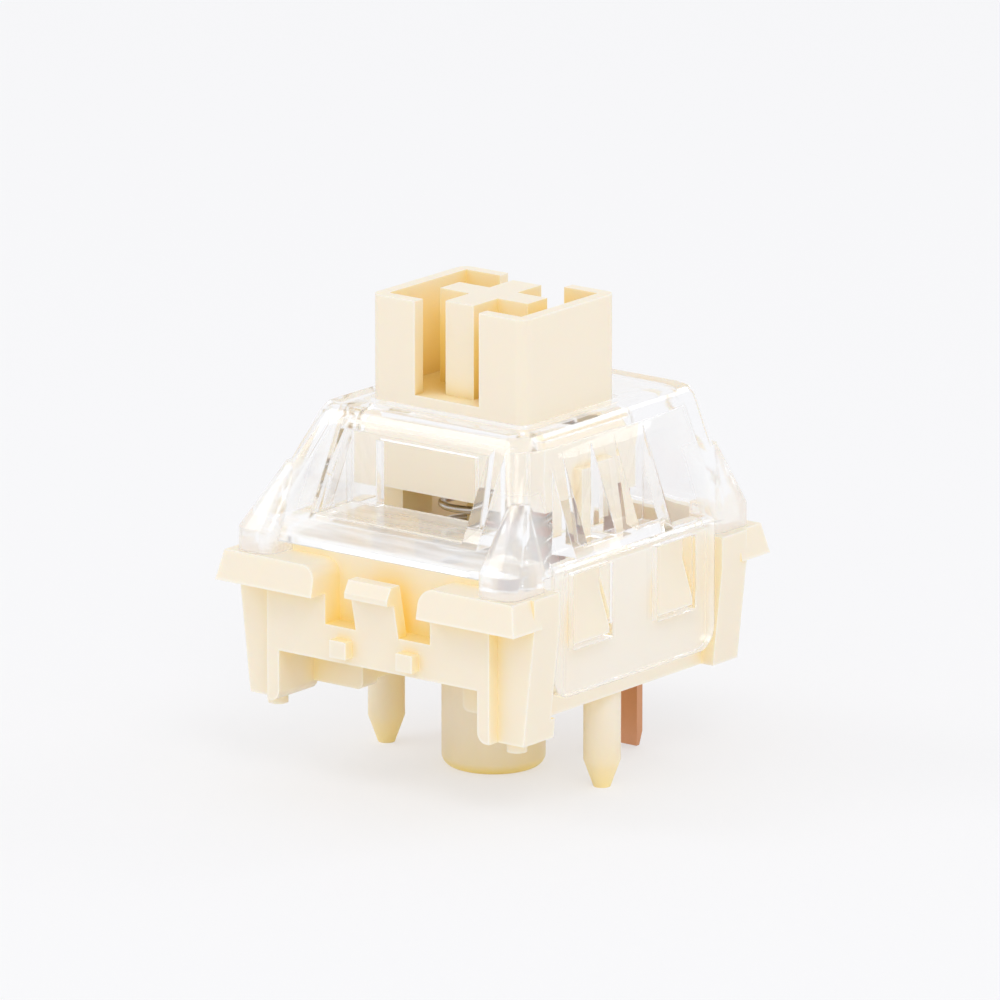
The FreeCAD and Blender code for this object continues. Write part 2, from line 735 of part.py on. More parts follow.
def build_side_bays(body):
    """A bay in each side slope, with a gusset left in its middle."""
    inner = "side_bay_back - side_bay_wall"
    reach = "side_bay_half + side_bay_wall"
    bottom, top = "side_bay_low - side_bay_wall", "cover_top - cover_roof"
    block = [(inner, above(bottom)),
             (sloped(COVER_LOW_X, COVER_TOP_X, bottom), above(bottom)),
             (sloped(COVER_LOW_X, COVER_TOP_X, top), above(top)), (inner, above(top))]
    mirrored = [(minus(across), along) for across, along in block]
    add(body, "XZ", minus(reach), reach, block, mirrored)
    bay = [("side_bay_back", above("side_bay_low")), (FLANGE_REACH, above("side_bay_low")),
           (FLANGE_REACH, above("side_bay_high")), ("side_bay_back", above("side_bay_high"))]
    mirrored_bay = [(minus(across), along) for across, along in bay]
    cut(body, "XZ", "gusset_half", "side_bay_half", bay, mirrored_bay)
    cut(body, "XZ", minus("side_bay_half"), minus("gusset_half"), bay, mirrored_bay)


def build_skirts(body):
    """A plate down each side, with two windows for the catches."""
    inner = SIDE_WALL_FACE + " + skirt_gap"
    face_top = sloped(COVER_LOW_X, COVER_TOP_X, "skirt_high")
    section = [(inner, above("skirt_low")), (SKIRT_FACE, above("skirt_low")),
               (SKIRT_FACE, above("side_bay_low - skirt_blend")), (face_top, above("skirt_high")),
               (inner, above("skirt_high"))]
    mirrored = [(minus(across), along) for across, along in section]
    add(body, "XZ", minus("skirt_half"), "skirt_half", section, mirrored)
    windows = (box_outline("window_inner", "window_outer", above("window_low"), above("window_high")),
               box_outline(minus("window_outer"), minus("window_inner"), above("window_low"),
                           above("window_high")))
    cut(body, "YZ", inner, SKIRT_FACE, *windows)
    cut(body, "YZ", minus(SKIRT_FACE), minus(inner), *windows)
    half, low = value("skirt_half"), value(above("skirt_low"))
    round_edges(body, "Fillet", "skirt_round", lambda start, end: (
        near(start.z, low) and near(end.z, low) and near(abs(start.y), half)
        and near(abs(end.y), half) and near(start.y, end.y)))


# Stem: a walled box round a cross, with shoulders under the cover, side rails,
# two cam legs for the contact leaf and a guide pole inside the spring.

def build_stem():
    body = new_body("stem")
    add(body, "XY", above("shoulder_low"), above("stem_top"), centred("stem_half_x", "stem_half_y"))
    half_x, half_y = value("stem_half_x"), value("stem_half_y")
    round_edges(body, "Fillet", "stem_corner",
                lambda start, end: beside(start, end, half_x, half_y))
    cut(body, "XY", above(STEM_FLOOR), above("stem_top"),
        centred("stem_half_x - stem_wall", "stem_half_y - stem_wall"))
    cut(body, "XZ", minus("stem_half_y"), "stem_half_y",
        box_outline(minus("stem_notch_half"), "stem_notch_half", above(STEM_FLOOR),
                    above("stem_top")))
    bar_x, bar_y, tip = "cross_bar_ns / 2", "cross_bar_ew / 2", "cross_tip"
    cross = [(minus(bar_x), minus(tip)), (bar_x, minus(tip)), (bar_x, minus(bar_y)),
             (tip, minus(bar_y)), (tip, bar_y), (bar_x, bar_y), (bar_x, tip), (minus(bar_x), tip),
             (minus(bar_x), bar_y), (minus(tip), bar_y), (minus(tip), minus(bar_y)),
             (minus(bar_x), minus(bar_y))]
    add(body, "XY", above(STEM_FLOOR + " - joint_overlap"), above("stem_top"), cross)
    add(body, "XY", above("shoulder_low"), above(SHOULDER_TOP),
        centred("shoulder_half", "stem_half_y"))
    add(body, "XY", above(RAIL_LOW), above(SHOULDER_TOP + " - rail_drop"),
        *both_sides("stem_half_x", "rail_reach", minus("rail_half"), "rail_half"))
    cut_round(body, "XY", above("shoulder_low"), above("spring_seat"),
              ("0", "0", "spring_seat_radius"))
    add_round(body, "XY", above("pole_low + pole_tip_cone"), above("spring_seat + joint_overlap"),
              ("0", "0", "pole_radius"))
    loft(body, "AdditiveLoft",
         above("pole_low"),
         lambda sketch: draw_circle(sketch, "0", "0", "pole_radius - pole_tip_cone"),
         above("pole_low + pole_tip_cone"),
         lambda sketch: draw_circle(sketch, "0", "0", "pole_radius"))
    for low, high in leg_spans():
        add(body, "YZ", low, high, leg_profile())
    return body


def leg_spans():
    """The two places along X where the cam legs meet the leaf's arms."""
    outer = "leg_inner + leg_width"
    return (("leg_inner", outer), (minus(outer), minus("leg_inner")))


def leg_profile():
    """Side outline of a cam leg, whose face draws back as the stem goes down."""
    slope = ("contact_closing * ( leaf_bump_level - leaf_hinge_level )"
             " / ( contact_level - leaf_hinge_level ) / travel")
    touch = "leaf_plane - leaf_thickness / 2 - leaf_bump_rise - leg_gap"
    root = "stem_half_y - joint_overlap"
    return [(root, above(LEG_LOW)),
            ("%s + %s * ( leaf_bump_level - %s )" % (touch, slope, LEG_LOW), above(LEG_LOW)),
            ("%s - %s * ( %s - leaf_bump_level )" % (touch, slope, SHOULDER_TOP), above(SHOULDER_TOP)),
            (root, above(SHOULDER_TOP))]


def build_return_spring():
    """A coil between the housing floor and the stem, drawn at rest, with eight flats on its wire."""
    body = new_body("return_spring")
    sketch = new_sketch(body, "XZ_Plane", "0")
    flat, corner = "spring_wire / 2", "spring_wire / 2 * %.4f" % math.tan(math.pi / 8)
    eighths = [(flat, minus(corner)), (flat, corner), (corner, flat), (minus(corner), flat),
               (minus(flat), corner), (minus(flat), minus(corner)), (minus(corner), minus(flat)),
               (corner, minus(flat))]
    centre = above("floor_top + spring_wire / 2")
    draw_outline(sketch, [("spring_mean_radius + " + across, "%s + %s" % (centre, along))
                          for across, along in eighths])
    coil = body.newObject("PartDesign::AdditiveHelix", "Coil")
    coil.Profile = sketch
    coil.ReferenceAxis = (sketch, ["V_Axis"])
    coil.Mode = "height-turns-angle"
    coil.setExpression("Height", rule("spring_seat - floor_top - spring_wire"))
    coil.setExpression("Turns", rule("spring_turns"))
    document.recompute()
    return body


# Contacts: a fixed plate and a springy leaf, each welded to a crossed contact bar.

def add_pin(body, across, along, top):
    """A flat pin through the floor, with a pointed end."""
    tip = "board_level - pin_reach"
    add(body, "XY", tip + " + pin_point", top, pin_outline(across, along, "0"))
    loft(body, "AdditiveLoft",
         tip, lambda sketch: draw_outline(sketch, pin_outline(across, along, "( 0 - pin_tip_inset )")),
         tip + " + pin_point", lambda sketch: draw_outline(sketch, pin_outline(across, along, "0")))


def build_fixed_contact():
    body = new_body("fixed_contact")
    strap_top = above("floor_top + metal_thickness")
    back = "fixed_plate_face - metal_thickness"
    left = "near_pin_x - pin_width / 2"
    add_pin(body, "near_pin_x", "near_pin_y", strap_top)
    add(body, "XY", above("floor_top"), strap_top,
        [(left, "near_pin_y - metal_thickness / 2"),
         ("near_pin_x + pin_width / 2", "near_pin_y - metal_thickness / 2"),
         ("near_pin_x + pin_width / 2", back), ("fixed_plate_half", back),
         ("fixed_plate_half", "fixed_plate_face"), (left, "fixed_plate_face")])
    add(body, "XY", above("floor_top"), above("fixed_plate_top"),
        box_outline(minus("fixed_plate_half"), "fixed_plate_half", back, "fixed_plate_face"))
    return body


def build_leaf_terminal():
    body = new_body("leaf_terminal")
    front = "far_pin_y - metal_thickness / 2"
    add_pin(body, "far_pin_x", "far_pin_y", above("leaf_hinge_level"))
    add(body, "XY", above("floor_top"), above("leaf_hinge_level"),
        box_outline(minus("leaf_half"), "far_pin_x + pin_width / 2", front,
                    "far_pin_y + metal_thickness / 2"))
    foot_top = "leaf_hinge_level - leaf_roll_radius"
    add(body, "XY", above("floor_top"), above(foot_top),
        box_outline(minus("leaf_half"), "leaf_half", "leaf_plane - leaf_roll_radius",
                    front + " + joint_overlap"))
    return body


def build_contact_leaf():
    """A thin blade on a rolled edge, slit into a tongue and two arms with bumps."""
    body = new_body("contact_leaf")
    add_round(body, "YZ", minus("leaf_half"), "leaf_half",
              ("leaf_plane", above("leaf_hinge_level"), "leaf_roll_radius"))
    face = "leaf_plane - leaf_thickness / 2"
    add(body, "XY", above("leaf_hinge_level"), above("leaf_top"),
        box_outline(minus("leaf_half"), "leaf_half", face, "leaf_plane + leaf_thickness / 2"))
    cut(body, "XZ", "leaf_plane - leaf_roll_radius", "leaf_plane + leaf_roll_radius",
        *both_sides("leaf_tongue_half", "leaf_tongue_half + leaf_slit", above("leaf_slit_low"),
                    above("leaf_top")))
    cut(body, "XZ", "leaf_plane - leaf_roll_radius", "leaf_plane + leaf_roll_radius",
        box_outline(minus("leaf_tongue_half"), "leaf_tongue_half",
                    above("contact_level + contact_length / 2"), above("leaf_top")))
    bump = [(face + " + joint_overlap / 2", above("leaf_bump_level - leaf_bump_half")),
            (face + " - leaf_bump_rise", above("leaf_bump_level")),
            (face + " + joint_overlap / 2", above("leaf_bump_level + leaf_bump_half"))]
    for low, high in leg_spans():
        add(body, "YZ", low, high, bump)
    return body


def build_contact_bars():
    """Two roof-shaped bars that cross where they meet."""
    fixed = new_body("fixed_crosspoint")
    face = "fixed_plate_face"
    tip = ("leaf_plane - leaf_thickness / 2 - contact_rise - contact_closing"
           " - contact_clearance")
    add(fixed, "YZ", minus("contact_length / 2"), "contact_length / 2",
        [(face, above("contact_level - contact_width / 2")),
         (tip, above("contact_level - contact_crest_half")),
         (tip, above("contact_level + contact_crest_half")),
         (face, above("contact_level + contact_width / 2"))])
    moving = new_body("moving_crosspoint")
    face = "leaf_plane - leaf_thickness / 2"
    add(moving, "XY", above("contact_level - contact_length / 2"),
        above("contact_level + contact_length / 2"),
        [(minus("contact_width / 2"), face), (minus("contact_crest_half"), face + " - contact_rise"),
         ("contact_crest_half", face + " - contact_rise"), ("contact_width / 2", face)])
    return [fixed, moving]


def check_document():
    """No object may have failed, because a recompute doesn't stop for one."""
    for item in document.Objects:
        if "Invalid" in item.State or "Error" in item.State:
            raise RuntimeError("%s in %s failed" % (item.Name, item.Label))


def export(bodies):
    os.makedirs("parts", exist_ok=True)
    for body in bodies:
        shape = body.Shape
        if shape.isNull() or not shape.isValid() or len(shape.Solids) != 1:
            raise RuntimeError("%s isn't one valid solid" % body.Label)
        shape.exportStep("parts/%s.step" % body.Label)
        print("%-18s %9.3f mm3" % (body.Label, shape.Volume))


bodies = [build_bottom_housing(), build_top_housing(), build_stem(), build_return_spring(),
          build_fixed_contact(), build_leaf_terminal(), build_contact_leaf()]
bodies += build_contact_bars()
document.recompute()
check_document()
export(bodies)
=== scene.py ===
"""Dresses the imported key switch: cream mouldings, a clear cover, a wound spring and copper contacts."""

import json
import math

import bpy
from mathutils import Matrix, Vector


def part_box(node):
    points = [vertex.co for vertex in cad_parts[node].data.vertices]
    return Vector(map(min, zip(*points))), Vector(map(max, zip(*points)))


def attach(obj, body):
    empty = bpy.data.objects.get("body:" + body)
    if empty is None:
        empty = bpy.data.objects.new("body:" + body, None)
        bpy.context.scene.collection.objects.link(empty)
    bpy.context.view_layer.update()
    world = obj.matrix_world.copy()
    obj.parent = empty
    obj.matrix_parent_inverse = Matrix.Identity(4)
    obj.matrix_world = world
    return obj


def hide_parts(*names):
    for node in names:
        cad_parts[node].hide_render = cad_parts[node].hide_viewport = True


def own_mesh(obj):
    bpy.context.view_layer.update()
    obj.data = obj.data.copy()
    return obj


bl_info = {
    "name": "Key Switch Looks",
    "version": (1, 0, 0),
    "blender": (4, 5, 0),
    "location": "View3D > Sidebar > Key Switch",
    "description": "Dresses a packed keyboard switch and sets its studio",
    "category": "Object",
}

MM = 0.001

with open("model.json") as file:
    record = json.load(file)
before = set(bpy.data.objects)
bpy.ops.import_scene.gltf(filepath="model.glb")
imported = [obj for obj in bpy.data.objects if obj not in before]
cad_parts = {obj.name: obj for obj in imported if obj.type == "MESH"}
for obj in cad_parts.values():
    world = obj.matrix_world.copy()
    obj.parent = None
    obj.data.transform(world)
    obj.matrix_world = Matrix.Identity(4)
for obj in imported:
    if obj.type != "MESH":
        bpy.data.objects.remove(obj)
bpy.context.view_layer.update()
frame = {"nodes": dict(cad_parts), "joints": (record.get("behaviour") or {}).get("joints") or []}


class MouldingSettings(bpy.types.PropertyGroup):
    """Colours and surface of the cream mouldings."""

    cream: bpy.props.FloatVectorProperty(
        name="Cream", description="Colour of the lower housing and the stem",
        default=(0.93, 0.835, 0.685), size=3, min=0, max=1, subtype="COLOR")
    # painted shade: colour laid into occluded corners
    corner_shade_colour: bpy.props.FloatVectorProperty(
        name="Amber", description="Colour that light takes on deep in the corners",
        default=(0.95, 0.70, 0.19), size=3, min=0, max=1, subtype="COLOR")
    # painted shade: colour laid at the foot of the stem's slots
    deep: bpy.props.FloatVectorProperty(
        name="Deep", description="Colour at the foot of the stem's slots",
        default=(0.56, 0.34, 0.05), size=3, min=0, max=1, subtype="COLOR")
    # painted glow: emission laid into occluded corners, standing in for light through the plastic
    painted_glow: bpy.props.FloatVectorProperty(
        name="Glow", description="Colour of light that comes through the plastic into its corners",
        default=(1.0, 0.78, 0.12), size=3, min=0, max=1, subtype="COLOR")
    painted_glow_strength: bpy.props.FloatProperty(
        name="Glow strength", description="Strength of the light that comes through in deep corners",
        default=0.12, min=0)
    # reach of the occlusion that drives the painted shade and the painted glow
    reach: bpy.props.FloatProperty(
        name="Reach", description="Distance within which other faces make a corner deep",
        default=3.0 * MM, min=0, unit="LENGTH")
    # the painted slot shade grows over this depth
    slot_depth: bpy.props.FloatProperty(
        name="Slot depth", description="Depth of the stem's slots, which darken towards their floor",
        default=3.57 * MM, min=0.1 * MM, unit="LENGTH")
    roughness: bpy.props.FloatProperty(
        name="Roughness", description="Roughness of the moulded surface",
        default=0.42, min=0, max=1, subtype="FACTOR")
    # painted highlight: the paler colour laid along edges stands in for their highlights
    pale: bpy.props.FloatVectorProperty(
        name="Pale", description="Colour of the thin plastic along the edges",
        default=(0.99, 0.95, 0.88), size=3, min=0, max=1, subtype="COLOR")
    # widths of the painted edge highlights
    edge: bpy.props.FloatProperty(
        name="Housing edge", description="Width of the paler edges of the lower housing",
        default=0.22 * MM, min=0, unit="LENGTH")
    stem_edge: bpy.props.FloatProperty(
        name="Stem edge", description="Width of the paler edges of the stem",
        default=0.16 * MM, min=0, unit="LENGTH")


class CoverSettings(bpy.types.PropertyGroup):
    """Colour and surface of the clear cover."""

    tint: bpy.props.FloatVectorProperty(
        name="Tint", description="Colour of light through the cover",
        default=(0.997, 0.997, 0.998), size=3, min=0, max=1, subtype="COLOR")
    edge: bpy.props.FloatProperty(
        name="Edge round", description="Radius of the cover's broken edges",
        default=0.09 * MM, min=0, unit="LENGTH")
    # the haze colour also serves as the painted sheen in the thick lip and feet
    haze_and_sheen: bpy.props.FloatVectorProperty(
        name="Milk", description="Colour of the cover's faint haze",
        default=(0.97, 0.97, 0.975), size=3, min=0, max=1, subtype="COLOR")
    shade: bpy.props.FloatVectorProperty(
        name="Shade", description="Colour of light that goes straight through one wall",
        default=(0.995, 0.995, 0.996), size=3, min=0, max=1, subtype="COLOR")
    crossings: bpy.props.IntProperty(
        name="Crossings", description="Surfaces at which a ray bends before it goes straight on",
        default=4, min=1)
    haze: bpy.props.FloatProperty(
        name="Haze", description="Share of the cover's surface that scatters light",
        default=0.2, min=0, max=1, subtype="FACTOR")
    # painted sheen: extra white scatter in the thick front lip and corner feet stands in for their internal
    # reflections
    lip_sheen: bpy.props.FloatProperty(
        name="Lip haze", description="Haze added in the thick front lip",
        default=0.62, min=0, max=1, subtype="FACTOR")
    foot_sheen: bpy.props.FloatProperty(
        name="Foot haze", description="Haze added in the thick corner feet",
        default=0.42, min=0, max=1, subtype="FACTOR")
    lip_low: bpy.props.FloatVectorProperty(
        name="Lip from", description="Where the lip's haze begins: across, along and up",
        default=(-1 * MM, 3.0 * MM, 0), size=3, subtype="TRANSLATION", unit="LENGTH")
    lip_high: bpy.props.FloatVectorProperty(
        name="Lip to", description="Where the lip's haze ends: across, along and up",
        default=(5.6 * MM, 9.0 * MM, 10.5 * MM), size=3, subtype="TRANSLATION", unit="LENGTH")
    foot_low: bpy.props.FloatVectorProperty(
        name="Foot from", description="Where the corner feet's haze begins: across, along and up",
        default=(4.1 * MM, 4.1 * MM, 0), size=3, subtype="TRANSLATION", unit="LENGTH")
    foot_high: bpy.props.FloatVectorProperty(
        name="Foot to", description="Where the corner feet's haze ends: across, along and up",
        default=(9.0 * MM, 9.0 * MM, 12.4 * MM), size=3, subtype="TRANSLATION", unit="LENGTH")


class MetalSettings(bpy.types.PropertyGroup):
    """Colours of the contacts and the spring, and the spring's winding."""

    copper: bpy.props.FloatVectorProperty(
        name="Copper", description="Colour of the stamped contacts",
        default=(0.72, 0.36, 0.20), size=3, min=0, max=1, subtype="COLOR")
    gold: bpy.props.FloatVectorProperty(
        name="Gold", description="Colour of the contact bars",
        default=(0.90, 0.66, 0.28), size=3, min=0, max=1, subtype="COLOR")
    steel: bpy.props.FloatVectorProperty(
        name="Steel", description="Colour of the spring wire",
        default=(0.66, 0.64, 0.62), size=3, min=0, max=1, subtype="COLOR")
    turns: bpy.props.FloatProperty(
        name="Turns", description="Open turns of the return spring",
        default=8.0, min=2, max=20)
    wire: bpy.props.FloatProperty(
        name="Wire", description="Diameter of the spring wire",
        default=0.3 * MM, min=0.1 * MM, unit="LENGTH")


class StudioSettings(bpy.types.PropertyGroup):
    """The floor, the lamps and the camera."""

    floor: bpy.props.FloatVectorProperty(
        name="Floor", description="Colour of the floor",
        default=(0.945, 0.942, 0.955), size=3, min=0, max=1, subtype="COLOR")
    dome: bpy.props.FloatProperty(
        name="Dome", description="Strength of the light from all round", default=0.84, min=0)
    shadow: bpy.props.FloatProperty(
        name="Shadow", description="Share of the switch's shadow that the pale floor shows",
        default=0.45, min=0, max=1, subtype="FACTOR")
    key: bpy.props.FloatProperty(
        name="Key", description="Power of the soft box to the camera's right", default=0.31, min=0,
        unit="POWER")
    side: bpy.props.FloatProperty(
        name="Side", description="Power of the soft box to the camera's left", default=0.22, min=0,
        unit="POWER")
    rear: bpy.props.FloatProperty(
        name="Rear", description="Power of the soft box behind the switch", default=0.12, min=0,
        unit="POWER")
    front: bpy.props.FloatProperty(
        name="Front", description="Power of the low soft lamp beside the camera", default=0.035,
        min=0, unit="POWER")
    azimuth: bpy.props.FloatProperty(
        name="Azimuth", description="Turn of the camera round the switch",
        default=math.radians(37.65), subtype="ANGLE", unit="ROTATION")
    elevation: bpy.props.FloatProperty(
        name="Elevation", description="Height of the camera above the horizon",
        default=math.radians(14.54), subtype="ANGLE", unit="ROTATION")
    distance: bpy.props.FloatProperty(
        name="Distance", description="Camera's distance from the middle of the switch",
        default=500 * MM, min=0.1, unit="LENGTH")
    scale: bpy.props.FloatProperty(
        name="Scale", description="Pixels for each millimetre at the middle of the switch",
        default=26.91, min=1)


class Value:
    """A number in a node tree: Python's arithmetic on it adds Math nodes."""

    def __init__(self, layout, socket):
        self.layout, self.socket = layout, socket

    def math(self, operation, *numbers):
        node = self.layout.add("ShaderNodeMath", {"operation": operation}, dict(enumerate(numbers)))
        return Value(self.layout, node.outputs[0])

    def __add__(self, other):
        return self.math("ADD", self, other)

    def __radd__(self, other):
        return self.math("ADD", other, self)

    def __sub__(self, other):
        return self.math("SUBTRACT", self, other)

    def __rsub__(self, other):
        return self.math("SUBTRACT", other, self)

    def __mul__(self, other):
        return self.math("MULTIPLY", self, other)

    def __rmul__(self, other):
        return self.math("MULTIPLY", other, self)

    def __truediv__(self, other):
        return self.math("DIVIDE", self, other)

    def __pow__(self, other):
        return self.math("POWER", self, other)

    def least(self, other):
        return self.math("MINIMUM", self, other)

    def most(self, other):
        return self.math("MAXIMUM", self, other)


class Layout:
    """A node tree under construction."""

    def __init__(self, tree):
        self.tree = tree

    def add(self, kind, settings=None, inputs=None):
        """A node with its settings set first and its sockets filled or linked."""
        node = self.tree.nodes.new(kind)
        for name, setting in (settings or {}).items():
            setattr(node, name, setting)
        for name, given in (inputs or {}).items():
            source = given.socket if isinstance(given, Value) else given
            if isinstance(source, bpy.types.NodeSocket):
                self.tree.links.new(source, node.inputs[name])
            else:
                node.inputs[name].default_value = source
        return node


class Shaping(Layout):
    """A Geometry Nodes tree with its inputs in a dictionary."""

    def __init__(self, name, inputs):
        super().__init__(bpy.data.node_groups.new(name, "GeometryNodeTree"))
        face = self.tree.interface
        face.new_socket("Geometry", in_out="INPUT", socket_type="NodeSocketGeometry")
        self.identifiers = {
            label: face.new_socket(label, in_out="INPUT", socket_type=kind).identifier
            for label, kind in inputs.items()}
        face.new_socket("Geometry", in_out="OUTPUT", socket_type="NodeSocketGeometry")
        self.given = self.tree.nodes.new("NodeGroupInput")
        self.result = self.tree.nodes.new("NodeGroupOutput")

    def number(self, label):
        return Value(self, self.given.outputs[label])

    def finish(self, geometry):
        self.tree.links.new(geometry, self.result.inputs["Geometry"])

    def put_on(self, piece, settings):
        """A modifier on the piece with the tree's inputs set by their identifiers."""
        modifier = piece.modifiers.new(self.tree.name, "NODES")
        modifier.node_group = self.tree
        for label, setting in settings.items():
            modifier[self.identifiers[label]] = setting
        return modifier


class Finish(Layout):
    """A material under construction."""

    def __init__(self, name):
        self.material = bpy.data.materials.new(name)
        self.material.use_nodes = True
        super().__init__(self.material.node_tree)
        self.tree.nodes.clear()
        self.output = self.add("ShaderNodeOutputMaterial")
        self.place = self.add("ShaderNodeTexCoord").outputs["Object"]

    def noise(self, scale, detail=2.0, roughness=0.5, stretch=(1, 1, 1)):
        """Noise between 0 and 1 on the piece, with its scale in features per millimetre."""
        spread = tuple(scale / MM * part for part in stretch)
        where = self.add("ShaderNodeMapping", {}, {"Vector": self.place, "Scale": spread})
        node = self.add("ShaderNodeTexNoise", {}, {
            "Vector": where.outputs[0], "Scale": 1.0, "Detail": detail, "Roughness": roughness})
        return Value(self, node.outputs["Fac"])

    def blend(self, amount, first, second):
        """A colour between two others."""
        node = self.add("ShaderNodeMix", {"data_type": "RGBA"}, {0: amount, 6: first, 7: second})
        return node.outputs[2]

    def bump(self, height, depth, strength=1.0, under=None):
        """A bump whose full height is a depth in metres."""
        inputs = {"Height": height, "Distance": depth, "Strength": strength}
        if under is not None:
            inputs["Normal"] = under
        return self.add("ShaderNodeBump", {}, inputs).outputs[0]

    def broken_edges(self, radius):
        """The surface's normal with its edges rounded to a radius."""
        return self.add("ShaderNodeBevel", {"samples": 4}, {"Radius": radius}).outputs[0]

    def edge_share(self, radius):
        """0 on flat faces, rising towards 1 at edges within a radius."""
        flat = self.add("ShaderNodeNewGeometry").outputs["Normal"]
        turn = self.add("ShaderNodeVectorMath", {"operation": "DOT_PRODUCT"}, {
            0: self.broken_edges(radius), 1: flat})
        return ((1 - Value(self, turn.outputs["Value"])) * 3).least(1)

    def surface(self, shader):
        self.tree.links.new(shader, self.output.inputs["Surface"])
        return self.material


def rgba(colour):
    return (*colour, 1.0)


def cream_plastic(settings, name, edge, slot_top=0):
    """Satin moulded plastic: fine grain, faint flow marks, painted yellow-orange shade and a painted glow
    in occluded corners, and a painted highlight along edges.

    Slots that open at the level slot_top get painted shade that darkens towards their floor.
    """
    finish = Finish(name)
    clouds = finish.noise(0.35, 3.0)
    flow = finish.noise(0.9, 2.0, 0.6, stretch=(0.25, 0.25, 1.6))
    grain = finish.noise(14.0, 3.0, 0.65)
    # painted shade: ambient occlusion tints occluded corners towards a yellow-orange colour and drives a
    # painted glow there
    trapped = finish.add("ShaderNodeAmbientOcclusion", {"samples": 8}, {
        "Distance": settings.reach, "Color": (1, 1, 1, 1)})
    depth = 1 - Value(finish, trapped.outputs["AO"])
    cloudy = finish.blend(clouds * 0.16, rgba(settings.cream),
                          rgba([part * 0.96 for part in settings.cream]))
    # painted highlight: edges lightened towards the pale edge colour
    edge_highlighted = finish.blend(finish.edge_share(edge) * 0.8, cloudy, rgba(settings.pale))
    corner_shade_and_glow = depth ** 1.5
    corner_shaded = finish.blend(corner_shade_and_glow * 1.05, edge_highlighted, rgba(settings.corner_shade_colour))
    place = finish.add("ShaderNodeSeparateXYZ", {}, {0: finish.place})
    # painted shade: the stem's slots darken towards their floor
    way_down = (slot_top - Value(finish, place.outputs["Z"])) / settings.slot_depth
    in_slot = ((depth - 0.45) * 5).most(0).least(1)
    slot_shade = way_down.most(0).least(1) ** 4 * in_slot
    colour = finish.blend(slot_shade * 0.4, corner_shaded, rgba(settings.deep))
    # painted glow: emission in occluded corners, standing in for light through the plastic, weaker in the
    # painted slot shade
    painted_glow = finish.blend(corner_shade_and_glow * 1.2 * (1 - slot_shade * 0.6), (0, 0, 0, 1), rgba(settings.painted_glow))
    fine = finish.bump(grain, 0.004 * MM, 0.5)
    normal = finish.bump(flow, 0.012 * MM, 0.35, fine)
    shader = finish.add("ShaderNodeBsdfPrincipled", {}, {
        "Base Color": colour, "Roughness": settings.roughness - 0.06 + clouds * 0.08 + grain * 0.06,
        "Normal": normal, "IOR": 1.49, "Subsurface Weight": 0.2,
        "Subsurface Radius": (1.0, 0.62, 0.28), "Subsurface Scale": 0.6 * MM,
        "Emission Color": painted_glow, "Emission Strength": settings.painted_glow_strength})
    return finish.surface(shader.outputs[0])


def thick_part(finish, low, high, fade):
    """1 in a box and its mirror images, fading to 0 over a length inside their faces."""
    place = finish.add("ShaderNodeSeparateXYZ", {}, {0: finish.place})
    share = 1.0
    for axis in range(3):
        way = Value(finish, place.outputs[axis])
        way = way.math("ABSOLUTE", way)
        inside = (way - low[axis]).least(high[axis] - way)
        share = inside.least(share * fade) / fade
    return share.most(0)


def clear_plastic(settings):
    """Polished clear plastic with faint moulding ripples and a faint haze; in the thick lip and corner feet
    a stronger white scatter stands in for their internal reflections, a painted reflection.
    """
    finish = Finish("clear_cover")
    ripple = finish.noise(0.3, 1.0, 0.4, stretch=(1, 1, 0.4))
    cloud = finish.noise(0.8, 2.0, 0.5)
    normal = finish.bump(ripple, 0.02 * MM, 0.5, finish.broken_edges(settings.edge))
    clear = finish.add("ShaderNodeBsdfPrincipled", {}, {
        "Base Color": rgba(settings.tint), "Roughness": 0.01 + cloud * 0.03, "Normal": normal,
        "IOR": 1.58, "Transmission Weight": 1.0})
    haze_and_sheen = finish.add("ShaderNodeBsdfPrincipled", {}, {
        "Base Color": rgba(settings.haze_and_sheen), "Roughness": 0.15, "IOR": 1.58, "Normal": normal})
    lip = thick_part(finish, settings.lip_low, settings.lip_high, 0.4 * MM)
    foot = thick_part(finish, settings.foot_low, settings.foot_high, 1.2 * MM)
    path = finish.add("ShaderNodeLightPath")
    # the haze is laid only on the first surface a ray meets
    crossed = Value(finish, path.outputs["Ray Depth"])
    outermost = (1 - crossed).most(0)
    # painted reflection: streaks in the lip's white scatter
    streak = finish.noise(1.6, 2.0, 0.6, stretch=(0.1, 1, 1.4))
    streaked = (streak * 1.8 - 0.1).most(0.2).least(1)
    # painted sheen in the thick parts, added to the faint haze
    thick = (lip * settings.lip_sheen * streaked).most(foot * settings.foot_sheen)
    haze = (thick + settings.haze) * outermost
    hazed = finish.add("ShaderNodeMixShader", {}, {0: haze, 1: clear.outputs[0], 2: haze_and_sheen.outputs[0]})
    passing = (crossed - settings.crossings).most(0).least(1)
    straight = finish.add("ShaderNodeBsdfTransparent", {}, {"Color": rgba(settings.shade)})
    whole = finish.add("ShaderNodeMixShader", {}, {
        0: passing, 1: hazed.outputs[0], 2: straight.outputs[0]})
    return finish.surface(whole.outputs[0])


def metal(name, colour, roughness, edge=0.01 * MM, brushed=(1, 1, 1)):
    """Stamped or drawn metal with fine lines along its grain."""
    finish = Finish(name)
    lines = finish.noise(6.0, 3.0, 0.7, stretch=brushed)
    stain = finish.noise(1.2, 3.0, 0.6)
    dull = rgba([part * 0.72 for part in colour])
    tone = finish.blend(stain * 0.5, rgba(colour), dull)
    normal = finish.bump(lines, 0.004 * MM, 0.6, finish.broken_edges(edge))
    shader = finish.add("ShaderNodeBsdfPrincipled", {}, {
        "Base Color": tone, "Metallic": 1.0, "Normal": normal,
        "Roughness": roughness + lines * 0.15})
    return finish.surface(shader.outputs[0])


